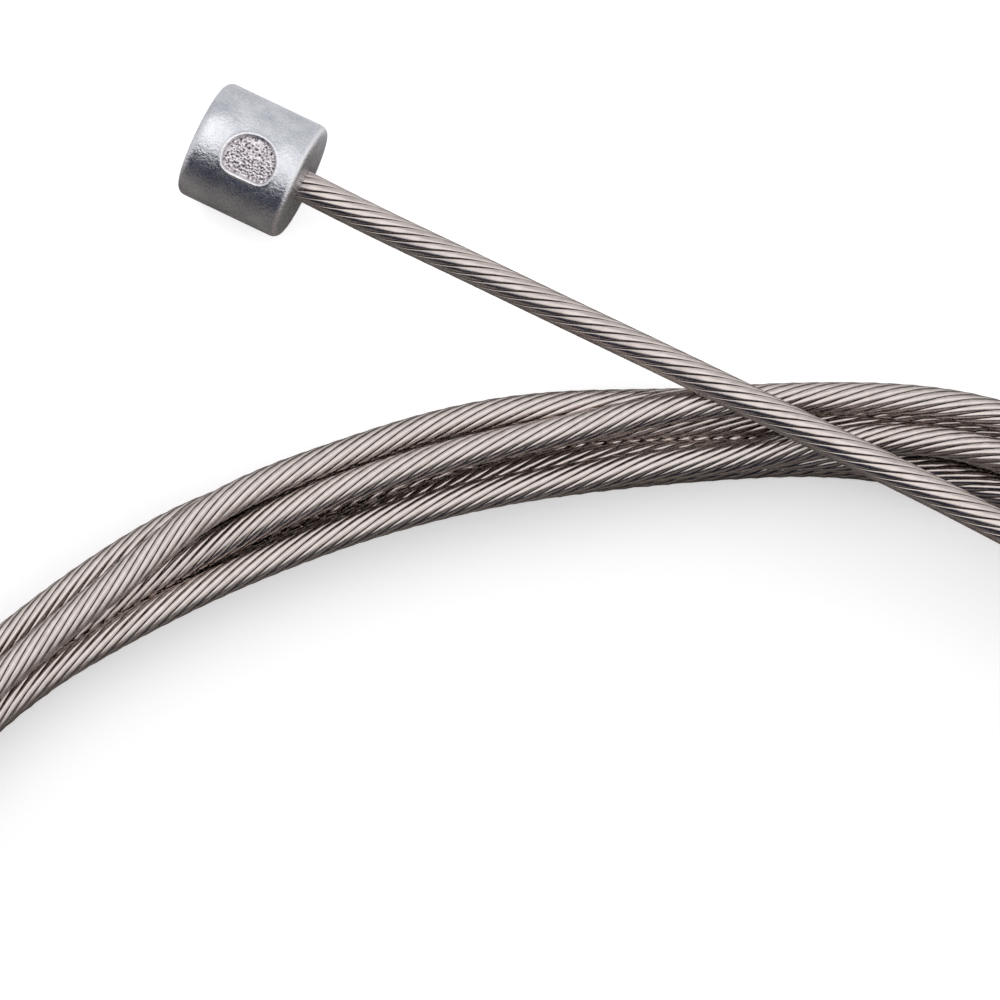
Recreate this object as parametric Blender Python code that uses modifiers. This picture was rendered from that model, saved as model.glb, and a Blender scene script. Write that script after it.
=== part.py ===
"""Shift cable for a bicycle: a stranded steel inner wire with a die-cast barrel end, lying coiled on a flat surface.

Units are metres, +Z is up. The origin is on the surface under the middle of the barrel, whose axis lies along X,
with the cable leaving it towards +X. The cable crosses over its own coil and winds clockwise, seen from above.
"""

import math

import bmesh
import bpy
import numpy as np
from mathutils import Matrix

MM = 0.001
CABLE_D = 1.2 * MM
SEAT_GAP = 0.3 * MM

# Barrel end, die-cast round the cable
BARREL_D = 4.65 * MM
BARREL_LENGTH = 4.3 * MM
RIM_RADIUS = 0.35 * MM
RIM_STEPS = 5
TURNED_STEPS = 72

# The cable's end inside the barrel, its wires spread into a bulb that the casting locks on
BULB_D = 2.1 * MM
BULB_LENGTH = 1.1 * MM
BULB_TAPER = 0.7 * MM
BULB_FLOOR = 0.9 * MM
CAST_CLEARANCE = 0.1 * MM
MOUTH_CHAMFER = 0.15 * MM

# Scar of the casting gate on the barrel's side: a round mark cut off straight on one side, with a raised lip
SCAR_RADIUS = 1.0 * MM
SCAR_FLAT = 0.65 * MM
SCAR_DEPTH = 0.14 * MM
SCAR_OFF_CENTRE = 0.07 * MM
SCAR_TILT = math.radians(12.5)
SCAR_STEPS = 40
LIP_WIDTH = 0.13 * MM
LIP_HEIGHT = 0.05 * MM
CUTTER_REACH = 1.0 * MM

# Coil: the middle line of the bundle of turns, seen from above, and the bundle's arched section
COIL_LOOP = [
    (41.9, -1.2), (46.5, -13.3), (43.5, -26.2), (34.8, -36.5), (21.7, -39.7), (8.2, -41.0),
    (-1.1, -31.8), (1.9, -19.2), (10.0, -9.1), (20.5, -1.8), (31.8, 2.2),
]
BUNDLE_HALF_WIDTH = 1.9 * MM
BUNDLE_HEIGHT = 4.2 * MM
BUNDLE_WALL = 2.2 * MM
BUNDLE_FOOT = 0.5 * MM
ARCH_STEPS = 8
COIL_STEP = 2.0 * MM

# Lead: from the barrel over the coil to its inner side, and the free end, lying flat beside the coil
LEAD_ROUTE = [
    (5.0, -0.12, 2.32), (8.5, -0.22, 2.75), (12.8, -0.38, 3.45), (17.0, -0.54, 4.2), (21.2, -0.72, 4.95),
    (25.4, -0.8, 5.1), (29.6, -0.84, 4.95), (33.2, -0.9, 4.6), (36.6, -1.15, 4.2),
]
TAIL_ROUTE = [(39.5, -36.6), (37.8, -38.8), (36.1, -40.8), (34.4, -42.3)]
ROUTE_STEP = 2.0 * CABLE_D

STEEL = (0.54, 0.51, 0.49, 1.0)
ZINC = (0.60, 0.60, 0.63, 1.0)


def clear_scene():
    for obj in list(bpy.data.objects):
        bpy.data.objects.remove(obj, do_unlink=True)


def collection(name):
    made = bpy.data.collections.new(name)
    bpy.context.scene.collection.children.link(made)
    return made


def metal(name, colour, roughness):
    """A bare metal of one colour."""
    made = bpy.data.materials.new(name)
    made.use_nodes = True
    shader = made.node_tree.nodes["Principled BSDF"]
    shader.inputs["Base Color"].default_value = colour
    shader.inputs["Metallic"].default_value = 1.0
    shader.inputs["Roughness"].default_value = roughness
    made.diffuse_color = colour
    return made


def in_metres(points):
    """Points chosen in millimetres."""
    return [tuple(value * MM for value in point) for point in points]


def smooth_curve(points, step, closed=False):
    """Points about a step apart on the cubic spline through the given ones."""
    knots = np.array(points + points[:1] if closed else points, float)
    chord = np.linalg.norm(np.diff(knots, axis=0), axis=1)[:, None]
    rise = np.diff(knots, axis=0) / chord
    count = len(knots)
    system = np.zeros((count, count))
    slopes = np.zeros_like(knots)
    for i in range(1, count - 1):
        before, after = chord[i - 1, 0], chord[i, 0]
        system[i, i - 1 : i + 2] = after, 2 * (before + after), before
        slopes[i] = 3 * (after * rise[i - 1] + before * rise[i])
    if closed:
        before, after = chord[-1, 0], chord[0, 0]
        system[0, 0], system[0, 1], system[0, -2] = 2 * (before + after), before, after
        slopes[0] = 3 * (after * rise[-1] + before * rise[0])
        system[-1, 0], system[-1, -1] = 1, -1
    else:
        system[0, 0] = system[-1, -1] = 1
        slopes[0], slopes[-1] = rise[0], rise[-1]
    tangent = np.linalg.solve(system, slopes)
    share = np.linspace(0, 1, 40, endpoint=False)[:, None]
    fine = []
    for i in range(count - 1):
        fine.append(
            (1 + 2 * share) * (1 - share) ** 2 * knots[i]
            + share**2 * (3 - 2 * share) * knots[i + 1]
            + share * (1 - share) ** 2 * chord[i] * tangent[i]
            + share**2 * (share - 1) * chord[i] * tangent[i + 1]
        )
    fine = np.vstack(fine + [knots[-1:]])
    run = np.append(0, np.cumsum(np.linalg.norm(np.diff(fine, axis=0), axis=1)))
    pieces = max(2, round(run[-1] / step))
    at = np.linspace(0, run[-1], pieces + 1)
    even = np.stack([np.interp(at, run, axis) for axis in fine.T], axis=-1)
    return even[:-1] if closed else even


def poly_curve(name, points, closed, home):
    """A curve object on a POLY spline through the points."""
    data = bpy.data.curves.new(name, "CURVE")
    data.dimensions = "3D"
    spline = data.splines.new("POLY")
    spline.points.add(len(points) - 1)
    for target, point in zip(spline.points, points):
        target.co = (*point, 1.0)
    spline.use_cyclic_u = closed
    made = bpy.data.objects.new(name, data)
    home.objects.link(made)
    return made


def tube(name, points, material, home):
    """A plain round cable along the points, with closed ends."""
    made = poly_curve(name, points, False, home)
    made.data.bevel_depth = CABLE_D / 2
    made.data.bevel_resolution = 2
    made.data.use_fill_caps = True
    made.data.materials.append(material)
    return made


def turned(name, profile, steps, home):
    """A solid turned round the barrel's axis: the profile is (radius, distance along the axis) and starts and ends
    on the axis, with its outer side running from the cable's side to the far side."""
    data = bpy.data.meshes.new(name)
    edges = [(i, i + 1) for i in range(len(profile) - 1)]
    data.from_pydata([(radius, 0.0, along) for radius, along in profile], edges, [])
    made = bpy.data.objects.new(name, data)
    made.rotation_euler = (0.0, math.pi / 2, 0.0)
    made.location = (0.0, 0.0, BARREL_D / 2)
    home.objects.link(made)
    screw = made.modifiers.new("turn", "SCREW")
    screw.steps = screw.render_steps = steps
    screw.use_merge_vertices = True
    screw.merge_threshold = 0.00001
    screw.use_smooth_shade = False
    return made


def cable_side():
    """Distance from the barrel's middle to the face that the cable leaves."""
    return BARREL_LENGTH / 2


def bulb_profile(extra, mouth):
    """The bulb and the cable's neck, from the bulb's end to the mouth, made larger all round by a clearance."""
    neck, bulb = CABLE_D / 2 + extra, BULB_D / 2 + extra
    start = -cable_side() + BULB_FLOOR
    return [
        (0.0, start - extra),
        (bulb, start - extra),
        (bulb, start + BULB_LENGTH),
        (neck, start + BULB_LENGTH + BULB_TAPER),
        (neck, mouth),
    ]


def rim(radius_at, along_at, from_angle):
    """A rounded rim, as the quarter circle from one angle to the next, about its centre."""
    angles = [from_angle - math.pi / 2 * i / RIM_STEPS for i in range(RIM_STEPS + 1)]
    return [
        (radius_at + RIM_RADIUS * math.cos(a), along_at + RIM_RADIUS * math.sin(a))
        for a in angles
    ]


def scar_outline(radius, flat):
    """The gate's outline in the barrel's side: a circle cut off straight at the flat, as (along, across) points."""
    low = math.asin(flat / radius)
    angles = [-low + (math.pi + 2 * low) * i / SCAR_STEPS for i in range(SCAR_STEPS + 1)]
    return [(radius * math.cos(a), radius * math.sin(a)) for a in angles]


def scar_block(name, outline, inner_radius, outer_radius, home):
    """The outline pushed through the barrel's side, kept between two radii, for a cut or a lip that follows the
    round side."""
    plate = bpy.data.curves.new(name, "CURVE")
    plate.dimensions = "2D"
    plate.fill_mode = "BOTH"
    plate.extrude = CUTTER_REACH
    spline = plate.splines.new("POLY")
    spline.points.add(len(outline) - 1)
    for target, (along, across) in zip(spline.points, outline):
        target.co = (along, across, 0.0, 1.0)
    spline.use_cyclic_u = True
    guide = bpy.data.objects.new(name, plate)
    home.objects.link(guide)
    to_side = Matrix.Translation((0.0, 0.0, BARREL_D / 2)) @ Matrix.Rotation(SCAR_TILT, 4, "X")
    guide.matrix_world = to_side @ Matrix.Translation((-SCAR_OFF_CENTRE, 0.0, BARREL_D / 2))
    bpy.context.view_layer.update()
    evaluated = guide.evaluated_get(bpy.context.evaluated_depsgraph_get())
    block = as_mesh(name + "_block", evaluated, guide.matrix_world, home)
    bpy.data.objects.remove(guide, do_unlink=True)
    trim(block, drum(name + "_outside", outer_radius, home), "INTERSECT")
    trim(block, drum(name + "_inside", inner_radius, home), "DIFFERENCE")
    return hide(block)


def as_mesh(name, evaluated, matrix, home):
    data = bpy.data.meshes.new_from_object(evaluated)
    shell = bmesh.new()
    shell.from_mesh(data)
    bmesh.ops.remove_doubles(shell, verts=shell.verts, dist=0.000001)
    bmesh.ops.recalc_face_normals(shell, faces=shell.faces)
    shell.to_mesh(data)
    shell.free()
    made = bpy.data.objects.new(name, data)
    made.matrix_world = matrix
    home.objects.link(made)
    return made


def drum(name, radius, home):
    """A cylinder on the barrel's axis, longer than the scar."""
    shell = bmesh.new()
    bmesh.ops.create_cone(
        shell, cap_ends=True, segments=2 * TURNED_STEPS, radius1=radius, radius2=radius, depth=BARREL_LENGTH
    )
    data = bpy.data.meshes.new(name)
    shell.to_mesh(data)
    shell.free()
    made = bpy.data.objects.new(name, data)
    made.rotation_euler = (0.0, math.pi / 2, 0.0)
    made.location = (0.0, 0.0, BARREL_D / 2)
    home.objects.link(made)
    return hide(made)


def hide(helper):
    helper.hide_render = True
    helper.display_type = "WIRE"
    return helper


def trim(target, other, operation):
    change = target.modifiers.new(other.name, "BOOLEAN")
    change.operation = operation
    change.object = other


def make_barrel(material, home, cutters):
    """The die-cast barrel, with its rounded rims, the blind bore that grips the bulb, and the gate's scar."""
    outer, face = BARREL_D / 2, cable_side()
    mouth = CABLE_D / 2 + CAST_CLEARANCE
    profile = bulb_profile(CAST_CLEARANCE, face - MOUTH_CHAMFER)
    profile += [(mouth + MOUTH_CHAMFER, face)]
    profile += rim(outer - RIM_RADIUS, face - RIM_RADIUS, math.pi / 2)
    profile += rim(outer - RIM_RADIUS, RIM_RADIUS - face, 0.0)
    profile += [(0.0, -face)]
    made = turned("barrel", profile, TURNED_STEPS, home)
    made.data.materials.append(material)
    lip_outline = scar_outline(SCAR_RADIUS + LIP_WIDTH, SCAR_FLAT + LIP_WIDTH)
    lip = scar_block("lip", lip_outline, outer - SCAR_DEPTH, outer + LIP_HEIGHT, cutters)
    trim(made, lip, "UNION")
    scar = scar_block(
        "scar", scar_outline(SCAR_RADIUS, SCAR_FLAT), outer - SCAR_DEPTH, outer + CUTTER_REACH, cutters
    )
    trim(made, scar, "DIFFERENCE")
    return made


def make_bulb(material, home):
    """The cable's end inside the barrel, up to the face where the lead goes on."""
    profile = bulb_profile(0.0, cable_side()) + [(0.0, cable_side())]
    made = turned("cable_bulb", profile[::-1], TURNED_STEPS // 3, home)
    made.data.materials.append(material)
    return made


def bundle_outline():
    """The bundle's section, as (outward, up) points: a flat foot, straight walls and an arched top."""
    half, wall, rise = BUNDLE_HALF_WIDTH, BUNDLE_WALL, BUNDLE_HEIGHT - BUNDLE_WALL
    angles = [math.pi * i / ARCH_STEPS for i in range(ARCH_STEPS + 1)]
    arch = [(-half * math.cos(a), wall + rise * math.sin(a)) for a in angles]
    return [(BUNDLE_FOOT - half, 0.0), (-half, BUNDLE_FOOT)] + arch + [(half, BUNDLE_FOOT), (half - BUNDLE_FOOT, 0.0)]


def make_coil(material, home, cutters):
    """The wound turns as one solid of their outer shape."""
    section = poly_curve("bundle_section", [(x, y, 0.0) for x, y in bundle_outline()], True, cutters)
    section.data.dimensions = "2D"
    section.data.fill_mode = "NONE"
    hide(section)
    middle = smooth_curve(in_metres(COIL_LOOP), COIL_STEP, closed=True)
    made = poly_curve("cable_coil", [(x, y, 0.0) for x, y in middle], True, home)
    made.data.twist_mode = "Z_UP"
    made.data.bevel_mode = "OBJECT"
    made.data.bevel_object = section
    made.data.materials.append(material)
    return made


def make_lead(material, home):
    """The cable from the barrel's face over the coil."""
    exit_point = (cable_side() + SEAT_GAP, 0.0, BARREL_D / 2)
    return tube("cable_lead", smooth_curve([exit_point] + in_metres(LEAD_ROUTE), ROUTE_STEP), material, home)


def make_tail(material, home):
    """The cable's free end, lying on the surface."""
    flat = [(x, y, CABLE_D / 2) for x, y in in_metres(TAIL_ROUTE)]
    return tube("cable_tail", smooth_curve(flat, ROUTE_STEP), material, home)


clear_scene()
parts = collection("shift_cable")
helpers = collection("cutters")
zinc = metal("cast_zinc", ZINC, 0.4)
steel = metal("stranded_steel", STEEL, 0.3)
make_barrel(zinc, parts, helpers)
make_bulb(steel, parts)
make_lead(steel, parts)
make_coil(steel, parts, helpers)
make_tail(steel, parts)
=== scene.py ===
"""Looks of a bicycle's shift cable: stranded steel wire lying in a loose coil, with a die-cast barrel end.

All lengths are metres in the part's own frame, +Z up, and the origin is under the middle of the barrel.
"""

import math

import bpy
import numpy as np
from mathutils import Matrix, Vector, noise


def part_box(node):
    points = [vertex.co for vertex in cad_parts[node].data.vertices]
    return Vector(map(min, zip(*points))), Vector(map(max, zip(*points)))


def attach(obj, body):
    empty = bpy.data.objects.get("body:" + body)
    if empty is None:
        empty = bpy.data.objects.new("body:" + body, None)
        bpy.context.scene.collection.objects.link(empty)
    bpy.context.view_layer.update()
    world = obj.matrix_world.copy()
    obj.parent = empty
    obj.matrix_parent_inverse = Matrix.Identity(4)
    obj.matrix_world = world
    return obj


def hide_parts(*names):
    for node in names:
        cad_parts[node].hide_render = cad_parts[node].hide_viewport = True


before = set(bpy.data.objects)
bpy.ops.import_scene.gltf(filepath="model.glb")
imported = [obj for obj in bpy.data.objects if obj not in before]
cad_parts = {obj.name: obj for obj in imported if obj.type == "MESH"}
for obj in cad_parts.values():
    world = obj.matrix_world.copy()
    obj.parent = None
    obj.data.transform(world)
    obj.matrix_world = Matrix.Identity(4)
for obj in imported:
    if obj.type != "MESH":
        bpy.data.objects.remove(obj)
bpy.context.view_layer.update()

# The camera looks steeply down at the barrel and the near side of the coil, as one does on a bench,
# through a long lens. The barrel stands in the upper left of the picture.
MM = 0.001
CAMERA_AZIMUTH = math.radians(26)
CAMERA_ELEVATION = math.radians(79)
CAMERA_DISTANCE = 260 * MM
PIXEL = 0.0381 * MM
PICTURE_PIXELS = 1000
BARREL_PIXEL = (253, 160)
SENSOR_WIDTH = 36.0

barrel_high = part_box("barrel")[1]
barrel_radius = barrel_high.y
barrel_middle = Vector((0.0, 0.0, barrel_radius))


def aim(thing, back):
    """Turns a camera or a lamp so that it looks the way opposite to back."""
    thing.rotation_euler = (-back).to_track_quat("-Z", "Y").to_euler()


def add_camera():
    back = Vector((
        math.sin(CAMERA_AZIMUTH) * math.cos(CAMERA_ELEVATION),
        -math.cos(CAMERA_AZIMUTH) * math.cos(CAMERA_ELEVATION),
        math.sin(CAMERA_ELEVATION),
    ))
    right = Vector((math.cos(CAMERA_AZIMUTH), math.sin(CAMERA_AZIMUTH), 0.0))
    up = back.cross(right)
    across = PICTURE_PIXELS / 2 - BARREL_PIXEL[0]
    down = PICTURE_PIXELS / 2 - BARREL_PIXEL[1]
    target = barrel_middle + (right * across - up * down) * PIXEL
    data = bpy.data.cameras.new("camera")
    data.sensor_width = SENSOR_WIDTH
    data.lens = SENSOR_WIDTH * CAMERA_DISTANCE / (PICTURE_PIXELS * PIXEL)
    made = bpy.data.objects.new("camera", data)
    made.location = target + back * CAMERA_DISTANCE
    aim(made, back)
    bpy.context.scene.collection.objects.link(made)
    bpy.context.scene.camera = made


add_camera()


# The cable is a strand of nineteen drawn stainless wires, twelve of them outside, laid left-handed. From the
# barrel it crosses over its own coil and goes down on the inner side into the first turn. Each later turn has
# another place in the bundle, and the free end, its wires fused in a bead, lies flat beside the coil.
CABLE_D = 1.2 * MM
OUTER_WIRES = 12
GROOVE_DEPTH = 0.08 * MM
WIRE_FLATNESS = 8
LAY_LENGTH = 9.0 * MM
IN_THE_MOUTH = 0.25 * MM
MOUTH_OFF_CENTRE = -0.05 * MM
LEAD_ROUTE = [
    (5.0, -0.12, 2.32), (8.5, -0.22, 2.75), (12.8, -0.38, 3.45), (17.0, -0.54, 4.2), (21.2, -0.72, 4.95),
    (25.4, -0.8, 5.1), (29.6, -0.84, 4.95), (33.2, -0.9, 4.6), (36.6, -1.15, 4.2),
]
TAIL_ROUTE = [(39.5, -36.6), (37.8, -38.8), (36.1, -40.8), (34.4, -42.3)]
COIL_LOOP = [
    (41.9, -1.2), (46.5, -13.3), (43.5, -26.2), (34.8, -36.5), (21.7, -39.7), (8.2, -41.0),
    (-1.1, -31.8), (1.9, -19.2), (10.0, -9.1), (20.5, -1.8), (31.8, 2.2),
]

# Each turn's place in the bundle's section, as (share of the loop, outward in cable diameters, row from the
# ground), mostly on the stretch near the barrel where the turns drift past each other. The lead comes first
TURN_PLACES = [
    [(0.915, -1.9, 2.9)],
    [(0.56, -0.95, 2.0), (0.637, -0.8, 2.1), (0.667, -1.0, 2.0), (0.725, -1.18, 2.0), (0.797, -1.1, 2.0),
     (0.82, -0.97, 2.0), (0.84, -0.93, 2.1), (0.88, -0.42, 2.6), (0.915, -0.2, 2.75)],
    [(0.56, -0.3, 3.0), (0.637, -0.2, 3.1), (0.652, -0.07, 3.15), (0.667, 0.1, 3.2), (0.682, 0.37, 3.2),
     (0.697, 0.75, 3.1), (0.711, 0.98, 2.95), (0.728, 1.01, 2.7), (0.752, 1.14, 2.55), (0.78, 1.23, 2.5),
     (0.797, 1.17, 2.4), (0.82, 0.98, 2.2), (0.865, 0.8, 1.9), (0.915, 0.75, 1.7)],
    [(0.56, 0.9, 2.0), (0.637, 0.77, 2.2), (0.667, 0.98, 2.1), (0.697, 1.12, 1.95), (0.725, 0.95, 1.7),
     (0.76, 0.7, 1.5), (0.845, 0.35, 1.55), (0.88, 0.05, 1.75), (0.915, -0.1, 1.8)],
    [(0.56, -0.1, 1.9), (0.637, -0.1, 1.9), (0.682, -0.1, 1.9), (0.697, -0.08, 2.1), (0.725, 0.0, 2.6),
     (0.797, 0.28, 2.9), (0.82, 0.55, 2.95), (0.845, 0.74, 2.95), (0.865, 0.78, 2.9), (0.915, 1.0, 2.7)],
    [(0.33, 1.75, 1.25), (0.45, 0.9, 1.0), (0.56, 0.9, 1.0), (0.637, 0.75, 1.1), (0.69, 1.0, 0.9),
     (0.725, 1.1, 0.9), (0.865, 0.92, 0.9), (0.915, 1.05, 0.9)],
    [(0.56, 0.0, 1.0)],
    [(0.56, -0.8, 1.0), (0.637, -0.62, 1.0), (0.69, -0.8, 1.0), (0.725, -0.88, 1.0), (0.797, -0.5, 1.4),
     (0.865, -0.75, 1.2), (0.915, -1.0, 1.2)],
    [(0.56, -0.7, 0.0), (0.637, -0.55, 0.0), (0.69, -0.7, 0.0), (0.797, -0.8, 0.0), (0.865, -0.75, 0.0),
     (0.915, -1.0, 0.0)],
    [(0.56, 0.1, 0.0)],
    [(0.56, 1.0, 0.0), (0.637, 0.8, 0.0), (0.725, 1.1, 0.0), (0.865, 0.95, 0.0), (0.915, 1.05, 0.0)],
    [(0.56, 2.0, 0.0)],
]
ROW_HEIGHT = 1.06 * MM
ROW_BASE = CABLE_D / 2

# Past that stretch each turn moves to the next one's place, the lead first and the others from last to first.
# All are shares of the loop
MOVES_BEGIN = 0.95
FIRST_MOVE = 0.05
MOVE_STAGGER = 0.02
MOVE_LENGTH = 0.12
LEAD_MOVE = 0.02
COIL_STARTS_AT = 0.03
COIL_ENDS_AT = 0.225
HEADING_REACH = 0.001

POINTS_PER_TURN = 48
FINE_PER_POINT = 20


def in_metres(points):
    """Points chosen in millimetres."""
    return np.array(points, float) * MM


def spline_through(points, closed=False):
    """A function of the share of the chord length, from 0 to 1, on the cubic spline through the points."""
    knots = np.vstack([points, points[:1]]) if closed else np.array(points)
    chord = np.linalg.norm(np.diff(knots, axis=0), axis=1)[:, None]
    rise = np.diff(knots, axis=0) / chord
    count = len(knots)
    system = np.zeros((count, count))
    slopes = np.zeros_like(knots)
    inner = np.arange(1, count - 1)
    before, after = chord[inner - 1, 0], chord[inner, 0]
    system[inner, inner - 1] = after
    system[inner, inner] = 2 * (before + after)
    system[inner, inner + 1] = before
    slopes[inner] = 3 * (after[:, None] * rise[inner - 1] + before[:, None] * rise[inner])
    if closed:
        before, after = chord[-1, 0], chord[0, 0]
        system[0, 0], system[0, 1], system[0, -2] = 2 * (before + after), before, after
        slopes[0] = 3 * (after * rise[-1] + before * rise[0])
        system[-1, 0], system[-1, -1] = 1, -1
    else:
        system[0, 0] = system[-1, -1] = 1
        slopes[0], slopes[-1] = rise[0], rise[-1]
    tangent = np.linalg.solve(system, slopes)
    ends = np.append(0, np.cumsum(chord))

    def at(share):
        run = np.atleast_1d(share) * ends[-1]
        piece = np.clip(np.searchsorted(ends, run, side="right") - 1, 0, count - 2)
        t = ((run - ends[piece]) / chord[piece, 0])[:, None]
        return (
            (1 + 2 * t) * (1 - t) ** 2 * knots[piece]
            + t**2 * (3 - 2 * t) * knots[piece + 1]
            + t * (1 - t) ** 2 * chord[piece] * tangent[piece]
            + t**2 * (t - 1) * chord[piece] * tangent[piece + 1]
        )

    return at


def smooth(share):
    share = np.clip(share, 0.0, 1.0)
    return share * share * (3 - 2 * share)


def place_of(turn, share):
    """Where a turn lies in the bundle's section, drifting evenly through its places without passing any."""
    places = np.array(TURN_PLACES[turn])
    after = int(np.searchsorted(places[:, 0], share))
    if after == 0 or after == len(places):
        return places[min(after, len(places) - 1), 1:]
    rise = np.diff(places[:, 1:], axis=0) / np.diff(places[:, 0])[:, None]
    slopes = np.zeros((len(places), 2))
    same_way = rise[1:] * rise[:-1] > 0
    total = np.where(same_way, rise[1:] + rise[:-1], 1.0)
    slopes[1:-1] = np.where(same_way, 2 * rise[1:] * rise[:-1] / total, 0.0)
    gap = places[after, 0] - places[after - 1, 0]
    t = (share - places[after - 1, 0]) / gap
    return (
        (1 + 2 * t) * (1 - t) ** 2 * places[after - 1, 1:]
        + t**2 * (3 - 2 * t) * places[after, 1:]
        + t * (1 - t) ** 2 * gap * slopes[after - 1]
        + t**2 * (t - 1) * gap * slopes[after]
    )


def coil_travel():
    """How far round the coil each of its points lies, in turns."""
    return np.arange(COIL_STARTS_AT, len(TURN_PLACES) - 2 + COIL_ENDS_AT, 1 / POINTS_PER_TURN)


def turn_at(run):
    """The turn that a place so far round the coil belongs to, and the share of the loop that it has gone,
    which is less than 0 just before the loop starts anew."""
    turn = int(run + 1 - MOVES_BEGIN)
    return turn, run - turn


def coil_points():
    """The coil's middle line, turn after turn, from the lead to the free end."""
    loop = spline_through(in_metres(COIL_LOOP), closed=True)
    moves = len(TURN_PLACES) - 1
    points = []
    for run in coil_travel():
        turn, share = turn_at(run)
        move = FIRST_MOVE + (moves - 1 - turn) * MOVE_STAGGER if turn else LEAD_MOVE
        moved = smooth((share - move) / MOVE_LENGTH)
        outward, row = (1 - moved) * place_of(turn, 1.0) + moved * place_of(turn + 1, share)
        ahead = loop((run + HEADING_REACH) % 1)[0] - loop((run - HEADING_REACH) % 1)[0]
        normal = np.array([-ahead[1], ahead[0]]) / np.linalg.norm(ahead)
        across = loop(run % 1)[0] + normal * outward * CABLE_D
        points.append((across[0], across[1], ROW_BASE + row * ROW_HEIGHT))
    return np.array(points)


def cable_points():
    """Points of the cable's whole middle line, from the barrel's mouth to the free end."""
    start = (barrel_high.x - IN_THE_MOUTH, MOUTH_OFF_CENTRE, barrel_radius)
    tail = [(x, y, CABLE_D / 2) for x, y in in_metres(TAIL_ROUTE)]
    return np.vstack([[start], in_metres(LEAD_ROUTE), coil_points(), tail])


def even_run(points, step):
    """The same line as points a step apart."""
    at = spline_through(points)
    fine = at(np.linspace(0, 1, FINE_PER_POINT * len(points)))
    run = np.append(0, np.cumsum(np.linalg.norm(np.diff(fine, axis=0), axis=1)))
    where = np.linspace(0, run[-1], int(run[-1] / step) + 1)
    return where, np.stack([np.interp(where, run, axis) for axis in fine.T], axis=-1)


# How finely the cable is meshed, as (places across each wire from groove to groove, distance between rings):
# beside the barrel, on the upper turns of the near stretch, on the turns inside the bundle, and on the rest
FINE = ((-1, -0.93, -0.82, -0.6, 0, 0.6, 0.82, 0.93), 0.22 * MM)
MIDDLE = ((-1, -0.8, 0, 0.8), 0.45 * MM)
INSIDE = ((-1, -0.6, 0.6), 1.4 * MM)
PLAIN = ((-1, -0.7, 0.7), 0.85 * MM)
NEAR_STRETCH = (0.58, 0.94)
UPPER_TURNS = (1, 2, 3, 4, 7)
INSIDE_TURNS = (6, 9)
BEAD_LENGTH = 0.7 * MM
BEAD_RINGS = 8
BEAD_TIP = 0.045
CENTRELINE_STEP = 0.1 * MM
WIRE_PITCH = 2 * math.pi / OUTER_WIRES


def round_the_strand(across):
    """Angles all round the strand, the depth of each below its outside, and which wire it lies on. The strand
    has been drawn through a die, so each wire is nearly flat outside and falls off steeply to its grooves."""
    off = np.tile(across, OUTER_WIRES)
    wire = np.repeat(np.arange(OUTER_WIRES), len(across))
    return (wire + off / 2) * WIRE_PITCH, GROOVE_DEPTH * np.abs(off) ** WIRE_FLATNESS, wire


def ring_plan(where, travel):
    """The rings along the cable, as (index on its middle line, places across each wire)."""
    plan = []
    at = 0.0
    while at < where[-1]:
        index = int(np.searchsorted(where, at))
        turn, share = turn_at(travel[index])
        near = NEAR_STRETCH[0] <= share <= NEAR_STRETCH[1]
        if travel[index] < 0:
            detail, step = FINE
        elif turn + 1 in INSIDE_TURNS:
            detail, step = INSIDE
        elif near and turn + 1 in UPPER_TURNS:
            detail, step = MIDDLE
        else:
            detail, step = PLAIN
        if where[-1] - at < BEAD_LENGTH:
            step = BEAD_LENGTH / BEAD_RINGS
        plan.append((index, detail))
        at += step
    return plan + [(len(where) - 1, detail)]


def skin_between(first, count_a, second, count_b):
    """Triangles between two rings of points, which may have different numbers of them."""
    faces = []
    a = b = 0
    while a < count_a or b < count_b:
        if b == count_b or (a < count_a and (a + 1) * count_b <= (b + 1) * count_a):
            faces.append((first + a % count_a, first + (a + 1) % count_a, second + b % count_b))
            a += 1
        else:
            faces.append((first + a % count_a, second + (b + 1) % count_b, second + b % count_b))
            b += 1
    return faces


def travel_along(points, where):
    """How far round the coil each place on the cable is, in turns, and less than 0 on the lead."""
    turns = coil_travel()
    known = np.concatenate([np.full(1 + len(LEAD_ROUTE), -1.0), turns, np.full(len(TAIL_ROUTE), turns[-1])])
    chord = np.append(0, np.cumsum(np.linalg.norm(np.diff(points, axis=0), axis=1)))
    return np.interp(where, chord * where[-1] / chord[-1], known)


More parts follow.
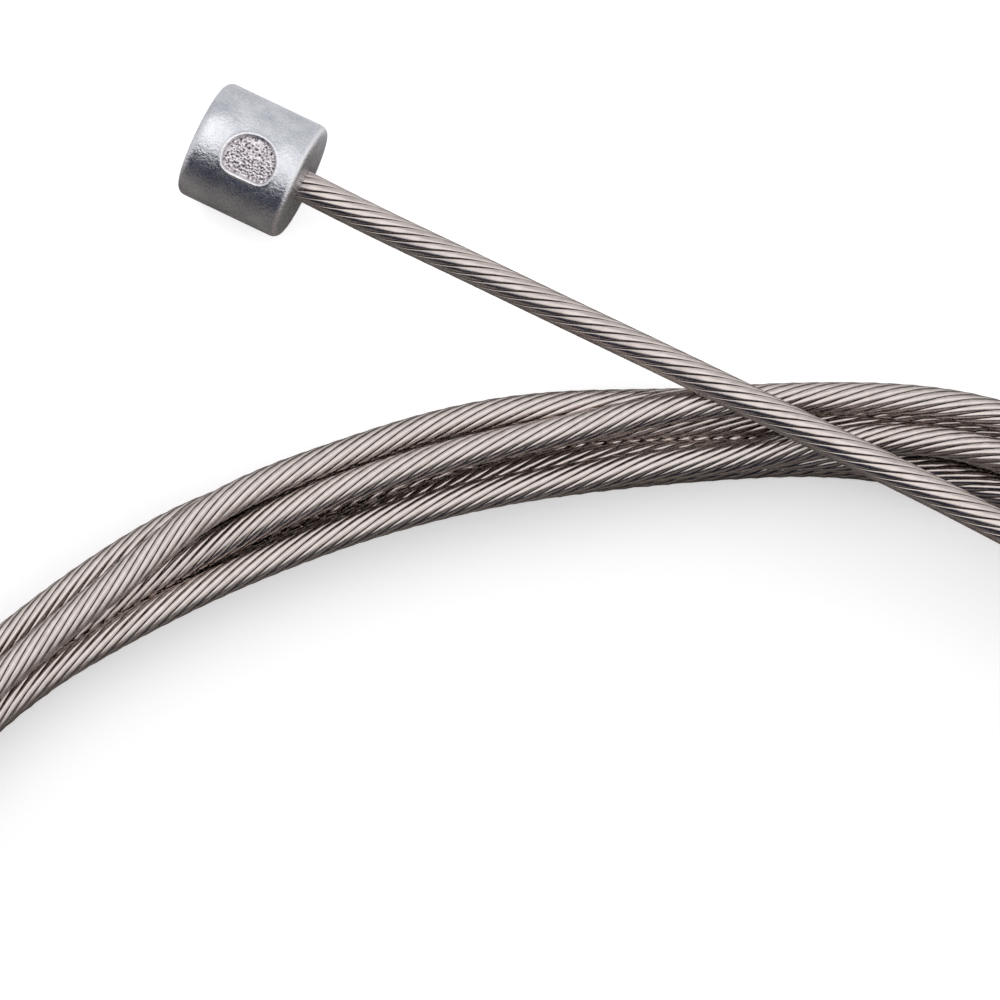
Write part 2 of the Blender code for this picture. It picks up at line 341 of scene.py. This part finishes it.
def add_cable():
    points = cable_points()
    where, line = even_run(points, CENTRELINE_STEP)
    ahead = np.gradient(line, axis=0)
    ahead /= np.linalg.norm(ahead, axis=1)[:, None]
    aside = np.cross(ahead, (0.0, 0.0, 1.0))
    aside /= np.linalg.norm(aside, axis=1)[:, None]
    upward = np.cross(aside, ahead)
    vertices, faces, rings, marks = [], [], [], []
    for index, detail in ring_plan(where, travel_along(points, where)):
        at, left = where[index], where[-1] - where[index]
        angle, groove, wire = round_the_strand(detail)
        radius = CABLE_D / 2 - groove
        if left < BEAD_LENGTH:
            fused = 1 - left / BEAD_LENGTH
            rounded = math.sqrt(max(1 - fused**2, BEAD_TIP**2))
            radius = (radius * (1 - fused) + CABLE_D / 2 * fused) * rounded
        turned = angle - 2 * math.pi * at / LAY_LENGTH
        ring = line[index] + radius[:, None] * (
            np.cos(turned)[:, None] * upward[index] + np.sin(turned)[:, None] * aside[index]
        )
        rings.append((len(vertices), len(angle)))
        vertices.extend(ring.tolist())
        marks.extend(np.stack([groove / GROOVE_DEPTH, np.full(len(angle), at / LAY_LENGTH), wire], axis=-1))
    for (first, count_a), (second, count_b) in zip(rings, rings[1:]):
        faces.extend(skin_between(first, count_a, second, count_b))
    faces.append(tuple(range(rings[0][1]))[::-1])
    faces.append(tuple(rings[-1][0] + j for j in range(rings[-1][1])))
    mesh = bpy.data.meshes.new("cable")
    mesh.from_pydata(vertices, [], faces)
    for column, name in enumerate(("groove", "lays", "wire")):
        values = np.array(marks, np.float32)[:, column]
        mesh.attributes.new(name, "FLOAT", "POINT").data.foreach_set("value", values)
    mesh.shade_smooth()
    made = bpy.data.objects.new("cable", mesh)
    bpy.context.scene.collection.objects.link(made)
    print("cable", len(faces), "triangles, length", where[-1])
    return made, line[:: round(MM / CENTRELINE_STEP)]


cable, cable_line = add_cable()


def linear(hex_colour):
    """A colour written as sRGB hex in Blender's linear values."""
    parts = [int(hex_colour[i : i + 2], 16) / 255 for i in (1, 3, 5)]
    return tuple(p / 12.92 if p <= 0.04045 else ((p + 0.055) / 1.055) ** 2.4 for p in parts) + (1.0,)


def new_material(name):
    made = bpy.data.materials.new(name)
    made.use_nodes = True
    return made, made.node_tree, made.node_tree.nodes["Principled BSDF"]


def add_node(tree, kind, settings=(), values=(), links=()):
    """A node of that kind with its settings, its sockets' values by name or number, and its links, as
    (from socket, to socket's name or number)."""
    node = tree.nodes.new(kind)
    for name, value in dict(settings).items():
        setattr(node, name, value)
    for name, value in dict(values).items():
        node.inputs[name].default_value = value
    for source, name in links:
        tree.links.new(source, node.inputs[name])
    return node


# Fine dull and bright streaks run along each wire, so many to a turn of the lay, and differ from wire to wire
STREAKS_PER_LAY = 14.0
STREAK_SHIFT = 7.3


def drawn_stainless():
    """Hard-drawn stainless wire, bright along its crests, and near black between them with painted shade in
    the grooves, together with the drawing's lubricant.
    """
    made, tree, shader = new_material("drawn_stainless_wire")
    groove = add_node(tree, "ShaderNodeAttribute", {"attribute_name": "groove"})
    along = add_node(tree, "ShaderNodeAttribute", {"attribute_name": "lays"})
    wire = add_node(tree, "ShaderNodeAttribute", {"attribute_name": "wire"})
    depth = add_node(
        tree,
        "ShaderNodeMapRange",
        values={"From Min": 0.15, "From Max": 0.65},
        links=[(groove.outputs["Fac"], "Value")],
    )
    streak_place = add_node(
        tree, "ShaderNodeCombineXYZ", links=[(along.outputs["Fac"], "X"), (wire.outputs["Fac"], "Y")]
    )
    streak_scaled = add_node(
        tree,
        "ShaderNodeMapping",
        values={"Scale": (STREAKS_PER_LAY, STREAK_SHIFT, 1.0)},
        links=[(streak_place.outputs[0], "Vector")],
    )
    streaks = add_node(
        tree,
        "ShaderNodeTexNoise",
        values={"Scale": 1.0, "Detail": 4.0, "Roughness": 0.6},
        links=[(streak_scaled.outputs[0], "Vector")],
    )
    metal = add_node(
        tree,
        "ShaderNodeMix",
        {"data_type": "RGBA"},
        {6: linear("#aca099"), 7: linear("#ebe0db")},
        [(streaks.outputs["Fac"], 0)],
    )
    # Painted shade: the grooves between the wires darken towards near black, together with the drawing's
    # lubricant
    colour = add_node(
        tree,
        "ShaderNodeMix",
        {"data_type": "RGBA"},
        {7: linear("#1b1411")},
        [(depth.outputs[0], 0), (metal.outputs[2], 6)],
    )
    tree.links.new(colour.outputs[2], shader.inputs["Base Color"])
    rough = add_node(
        tree,
        "ShaderNodeMapRange",
        values={"To Min": 0.16, "To Max": 0.36},
        links=[(streaks.outputs["Fac"], "Value")],
    )
    tree.links.new(rough.outputs[0], shader.inputs["Roughness"])
    shader.inputs["Metallic"].default_value = 1.0
    return made


cable.data.materials.append(drawn_stainless())
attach(cable, "root")
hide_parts("cable_lead", "cable_coil", "cable_tail")


# The barrel is a zinc die casting round the cable's end, with rounded rims and a mouth that closes on the
# wires. The casting gate was sheared off its side, which left a sunken round scar with one straight side, a
# pushed-up lip and a torn, granular floor.
RIM_RADIUS = 0.34 * MM
RIM_STEPS = 9
FACE_RINGS = 12
FACE_CENTRE = 0.05 * MM
SIDE_BEGINS = 2 * MM

# The mouth, as (depth, radius) in millimetres
MOUTH_PROFILE = [(0.0, 0.72), (0.02, 0.66), (0.07, 0.615), (0.16, 0.595), (0.32, 0.57)]

# The surface is meshed finely round the scar and more coarsely elsewhere
COARSE_STEP = 0.09 * MM
COARSE_TURN = math.radians(3)
FINE_STEP = 0.022 * MM

# The scar's outline, its place along and round the barrel, and its wall
SCAR_RADIUS = 1.0 * MM
SCAR_FLAT = 0.65 * MM
SCAR_CORNER = 0.16 * MM
SCAR_REACH = 1.3 * MM
SCAR_ALONG = 0.2 * MM
SCAR_TILT = math.radians(14.4)
SCAR_DEPTH = 0.13 * MM
WALL_HALF_WIDTH = 0.045 * MM

# The lip, lowest on one side, and the line of painted highlight on the rim beside the mouth; the lip gets the
# same painted highlight
LIP_HEIGHT = 0.06 * MM
LIP_MIDDLE = 0.1 * MM
LIP_WIDTH = 0.06 * MM
LIP_LEAST = 0.35
LIP_LOW_SIDE = math.radians(35)
LIP_CHANGE = 0.8
PAINTED_HIGHLIGHT_EDGE = 0.16 * MM
PAINTED_HIGHLIGHT_WIDTH = 0.1 * MM

# The torn floor's grains, large and small, and the painted shade in the pits between them
GRAIN_SIZE = 0.085 * MM
GRAIN_HEIGHT = 0.06 * MM
SMALL_GRAIN_SIZE = 0.45 * GRAIN_SIZE
SMALL_GRAIN_SHARE = 0.5
PIT_SHADE_STRENGTH = 1.7


def stations(low, high, fine_low, fine_high, coarse, fine):
    """Places from low to high, a fine step apart between the two inner limits and coarser outside them."""
    before = np.linspace(low, fine_low, max(2, round((fine_low - low) / coarse) + 1))[:-1]
    middle = np.linspace(fine_low, fine_high, round((fine_high - fine_low) / fine) + 1)
    after = np.linspace(fine_high, high, max(2, round((high - fine_high) / coarse) + 1))[1:]
    return np.concatenate([before, middle, after])


def barrel_profile():
    """The barrel's outline as (along the axis, radius), from the middle of its closed face into the mouth."""
    half, radius = barrel_high.x, barrel_radius
    turn = np.linspace(0, math.pi / 2, RIM_STEPS)
    scar_low, scar_high = SCAR_ALONG - SCAR_REACH, SCAR_ALONG + SCAR_REACH
    side = stations(RIM_RADIUS - half, half - RIM_RADIUS, scar_low, scar_high, COARSE_STEP, FINE_STEP)
    face = np.linspace(FACE_CENTRE, radius - RIM_RADIUS, FACE_RINGS)[:-1]
    open_face = np.linspace(radius - RIM_RADIUS, MOUTH_PROFILE[0][1] * MM, FACE_RINGS)[1:-1]
    rim = RIM_RADIUS * np.stack([np.cos(turn), np.sin(turn)], axis=-1)
    corner = radius - RIM_RADIUS
    return np.concatenate([
        [(-half, r) for r in face],
        [(RIM_RADIUS - half - across, corner + out) for across, out in rim],
        [(x, radius) for x in side[1:-1]],
        [(half - RIM_RADIUS + across, corner + out) for across, out in rim[::-1]],
        [(half, r) for r in open_face],
        [(half - depth * MM, r * MM) for depth, r in MOUTH_PROFILE],
    ])


def scar_distance(along, across):
    """The distance from the scar's outline, less than 0 inside it, with the corners at the flat rounded."""
    to_round = np.hypot(along, across) - SCAR_RADIUS
    to_flat = -across - SCAR_FLAT
    past_both = np.hypot(np.maximum(to_round + SCAR_CORNER, 0), np.maximum(to_flat + SCAR_CORNER, 0))
    return past_both + np.minimum(np.maximum(to_round, to_flat) + SCAR_CORNER, 0) - SCAR_CORNER


def scar_height(along, across):
    """How far the scar raises or sinks the surface at places laid out flat round its middle, and how much of
    each place is torn floor, lip (for its painted highlight) and pit (for its painted shade)."""
    distance = scar_distance(along, across)
    inside = smooth(0.5 - distance / (2 * WALL_HALF_WIDTH))
    off_low_side = np.arctan2(across, along) - LIP_LOW_SIDE
    lip = LIP_LEAST + (1 - LIP_LEAST) * smooth(0.5 - LIP_CHANGE * np.cos(off_low_side))
    lip *= np.exp(-(((distance - LIP_MIDDLE) / LIP_WIDTH) ** 2))
    grain = np.array([
        noise.noise(Vector((a, b, 0.0)) / GRAIN_SIZE)
        + SMALL_GRAIN_SHARE * noise.noise(Vector((a, b, 1.0)) / SMALL_GRAIN_SIZE)
        for a, b in zip(along, across)
    ])
    height = lip * LIP_HEIGHT + inside * (GRAIN_HEIGHT * grain - SCAR_DEPTH)
    return height, inside, lip, inside * np.clip(-PIT_SHADE_STRENGTH * grain, 0, 1)


def add_barrel():
    profile = barrel_profile()
    spread = SCAR_REACH / barrel_radius
    angles = stations(-math.pi, math.pi, -spread, spread, COARSE_TURN, FINE_STEP / barrel_radius)[:-1]
    along = np.repeat(profile[:, 0], len(angles))
    radius = np.repeat(profile[:, 1], len(angles))
    angle = np.tile(angles, len(profile))
    on_side = radius > SIDE_BEGINS
    near = np.flatnonzero((np.abs(along - SCAR_ALONG) <= SCAR_REACH) & (np.abs(angle) <= spread) & on_side)
    height, scar, lip, pit_shade = scar_height(along[near] - SCAR_ALONG, angle[near] * barrel_radius)
    radius[near] += height
    # Painted highlight: a bright line along the rim beside the mouth, and on the scar's lip
    painted_highlight = on_side * np.clip(1 - np.abs(along - barrel_high.x + PAINTED_HIGHLIGHT_EDGE) / PAINTED_HIGHLIGHT_WIDTH, 0, 1)
    painted_highlight[near] = lip
    turned = angle - SCAR_TILT
    points = np.stack([along, radius * np.sin(turned), barrel_radius + radius * np.cos(turned)], axis=-1)
    count = len(angles)
    faces = []
    for ring in range(len(profile) - 1):
        for step in range(count):
            after = (step + 1) % count
            low, high = ring * count, (ring + 1) * count
            faces.append((low + step, low + after, high + after, high + step))
    faces.append(tuple(range(count))[::-1])
    mesh = bpy.data.meshes.new("barrel_casting")
    mesh.from_pydata(points.tolist(), [], faces)
    for name, mark in (("scar", scar), ("pit_shade", pit_shade)):
        values = np.zeros(len(along), np.float32)
        values[near] = mark
        mesh.attributes.new(name, "FLOAT", "POINT").data.foreach_set("value", values)
    mesh.attributes.new("painted_highlight", "FLOAT", "POINT").data.foreach_set("value", painted_highlight.astype(np.float32))
    mesh.shade_smooth()
    made = bpy.data.objects.new("barrel_casting", mesh)
    bpy.context.scene.collection.objects.link(made)
    return made


# The skin's pebbles and its cloudy patches, each as the number of them to a metre
PEBBLES = 8.5 / MM
CLOUDS = 0.9 / MM
PEBBLE_HEIGHT = 0.03 * MM


def die_cast_zinc():
    """Zinc as it comes from the die: satin, pebbly and a little clouded, with bright metal in the scar,
    painted shade in the scar's pits, and a painted highlight on its lip and on the rim beside the mouth.
    """
    made, tree, shader = new_material("die_cast_zinc")
    place = add_node(tree, "ShaderNodeTexCoord")
    pebbles = add_node(
        tree,
        "ShaderNodeTexNoise",
        values={"Scale": PEBBLES, "Detail": 3.0, "Roughness": 0.65},
        links=[(place.outputs["Object"], "Vector")],
    )
    clouds = add_node(
        tree,
        "ShaderNodeTexNoise",
        values={"Scale": CLOUDS, "Detail": 3.0},
        links=[(place.outputs["Object"], "Vector")],
    )
    blend = add_node(
        tree,
        "ShaderNodeMath",
        {"operation": "MULTIPLY_ADD"},
        {1: 0.6},
        [(pebbles.outputs["Fac"], 0), (clouds.outputs["Fac"], 2)],
    )
    share = add_node(
        tree,
        "ShaderNodeMapRange",
        values={"From Min": 0.55, "From Max": 1.05},
        links=[(blend.outputs[0], "Value")],
    )
    colour = add_node(
        tree,
        "ShaderNodeMix",
        {"data_type": "RGBA"},
        {6: linear("#bdbec4"), 7: linear("#e9e9ed")},
        [(share.outputs[0], 0)],
    )
    # The scar's pits get painted shade, and its lip and a line on the rim beside the mouth a painted
    # highlight
    for name, shade in (("scar", "#ece4e7"), ("pit_shade", "#3c3637"), ("painted_highlight", "#fbf8f8")):
        mark = add_node(tree, "ShaderNodeAttribute", {"attribute_name": name})
        colour = add_node(
            tree,
            "ShaderNodeMix",
            {"data_type": "RGBA"},
            {7: linear(shade)},
            [(mark.outputs["Fac"], 0), (colour.outputs[2], 6)],
        )
    tree.links.new(colour.outputs[2], shader.inputs["Base Color"])
    rough = add_node(
        tree,
        "ShaderNodeMapRange",
        values={"To Min": 0.2, "To Max": 0.34},
        links=[(pebbles.outputs["Fac"], "Value")],
    )
    tree.links.new(rough.outputs[0], shader.inputs["Roughness"])
    bump = add_node(
        tree,
        "ShaderNodeBump",
        values={"Strength": 1.0, "Distance": PEBBLE_HEIGHT},
        links=[(pebbles.outputs["Fac"], "Height")],
    )
    tree.links.new(bump.outputs[0], shader.inputs["Normal"])
    shader.inputs["Metallic"].default_value = 0.95
    return made


barrel = add_barrel()
barrel.data.materials.append(die_cast_zinc())
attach(barrel, "root")
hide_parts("barrel")


# The bench is a smooth white sheet. It shows white to the camera, apart from the cable's soft shadow.
FLOOR_SIZE = 1.2
FLOOR_DROP = 0.02 * MM

# Painted light: the sheet glows more on the barrel's side of the coil, which washes out the barrel's and the
# lead's shadows, from here to there along this heading over the bench
GLOW_HEADING = (-0.504, 0.864, 0.0)
GLOW_BEGINS = -13 * MM
GLOW_ENDS = -6 * MM
GLOW_LEAST = 0.41
GLOW_MOST = 0.62

# In the metal's reflections the sheet is painted: bright behind the barrel and in painted shade on this side
# of it
LIT_BEGINS = -1 * MM
LIT_ENDS = 3 * MM


def white_sheet():
    """White to the eye, and the grey of a shaded bench where the metal mirrors its near part."""
    made, tree, shader = new_material("white_sheet")
    rays = add_node(tree, "ShaderNodeLightPath")
    place = add_node(tree, "ShaderNodeTexCoord")
    behind = add_node(
        tree,
        "ShaderNodeVectorMath",
        {"operation": "DOT_PRODUCT"},
        {1: GLOW_HEADING},
        [(place.outputs["Object"], 0)],
    )
    lit = add_node(
        tree,
        "ShaderNodeMapRange",
        {"interpolation_type": "SMOOTHSTEP"},
        {"From Min": LIT_BEGINS, "From Max": LIT_ENDS},
        [(behind.outputs["Value"], "Value")],
    )
    # Painted shade in reflections: the near part of the sheet is grey, the part behind the barrel bright
    mirrored = add_node(
        tree,
        "ShaderNodeMix",
        {"data_type": "RGBA"},
        {6: linear("#857f7a"), 7: linear("#eeeef0")},
        [(lit.outputs[0], 0)],
    )
    tone = add_node(
        tree,
        "ShaderNodeMix",
        {"data_type": "RGBA"},
        {6: linear("#e8e6e6")},
        [(rays.outputs["Is Glossy Ray"], 0), (mirrored.outputs[2], 7)],
    )
    tree.links.new(tone.outputs[2], shader.inputs["Base Color"])
    shader.inputs["Roughness"].default_value = 0.9
    # Painted light: more glow on the barrel's side washes out the shadows of the barrel and the lead
    strength = add_node(
        tree,
        "ShaderNodeMapRange",
        {"interpolation_type": "SMOOTHSTEP"},
        {"From Min": GLOW_BEGINS, "From Max": GLOW_ENDS, "To Min": GLOW_LEAST, "To Max": GLOW_MOST},
        [(behind.outputs["Value"], "Value")],
    )
    glow = add_node(
        tree,
        "ShaderNodeEmission",
        values={"Color": linear("#ffffff")},
        links=[(strength.outputs[0], "Strength")],
    )
    both = add_node(tree, "ShaderNodeAddShader", links=[(shader.outputs[0], 0), (glow.outputs[0], 1)])
    pick = add_node(
        tree,
        "ShaderNodeMixShader",
        links=[(rays.outputs["Is Camera Ray"], 0), (shader.outputs[0], 1), (both.outputs[0], 2)],
    )
    tree.links.new(pick.outputs[0], tree.nodes["Material Output"].inputs["Surface"])
    return made


def add_floor():
    half = FLOOR_SIZE / 2
    mesh = bpy.data.meshes.new("bench")
    corners = [(-half, -half), (half, -half), (half, half), (-half, half)]
    mesh.from_pydata([(x, y, -FLOOR_DROP) for x, y in corners], [], [(0, 1, 2, 3)])
    made = bpy.data.objects.new("bench", mesh)
    mesh.materials.append(white_sheet())
    bpy.context.scene.collection.objects.link(made)


add_floor()


# Plain studio light is one wide lamp overhead and a pale room round it, dark only on the side of the one who
# looks, so that the metal has a clear dark band.
LAMP_PLACE = Vector((0.0, 0.05, 0.5))
LAMP_AIMS_AT = Vector((0.02, -0.02, 0.0))
LAMP_SIZE = 0.6
LAMP_POWER = 0.5


def add_lamp():
    data = bpy.data.lights.new("key", "AREA")
    data.size = LAMP_SIZE
    data.energy = LAMP_POWER
    made = bpy.data.objects.new("key", data)
    made.location = LAMP_PLACE
    aim(made, LAMP_PLACE - LAMP_AIMS_AT)
    bpy.context.scene.collection.objects.link(made)


add_lamp()

# The room's brightness by how far towards the one who looks (less than 0) or away from them a ray leans
ROOM_SHADES = [
    (-1.0, "#1a2238"), (-0.6, "#1a2238"), (-0.5, "#ffffff"),
    (-0.3, "#f2f3f5"), (0.6, "#eceef0"), (1.0, "#e2e4e7"),
]
ROOM_STRENGTH = 1.0


def add_room():
    """The world in those shades."""
    world = bpy.data.worlds.new("room")
    world.use_nodes = True
    tree = world.node_tree
    place = add_node(tree, "ShaderNodeTexCoord")
    split = add_node(tree, "ShaderNodeSeparateXYZ", links=[(place.outputs["Generated"], 0)])
    lean = add_node(
        tree,
        "ShaderNodeMapRange",
        values={"From Min": -1.0, "From Max": 1.0},
        links=[(split.outputs["Y"], "Value")],
    )
    shades = add_node(tree, "ShaderNodeValToRGB", links=[(lean.outputs[0], 0)])
    stops = shades.color_ramp.elements
    for at, shade in ROOM_SHADES[1:-1]:
        stops.new((at + 1) / 2).color = linear(shade)
    stops[0].color = linear(ROOM_SHADES[0][1])
    stops[len(ROOM_SHADES) - 1].color = linear(ROOM_SHADES[-1][1])
    tree.links.new(shades.outputs[0], tree.nodes["Background"].inputs["Color"])
    tree.nodes["Background"].inputs["Strength"].default_value = ROOM_STRENGTH
    bpy.context.scene.world = world


add_room()
bpy.context.scene.view_settings.view_transform = "Standard"
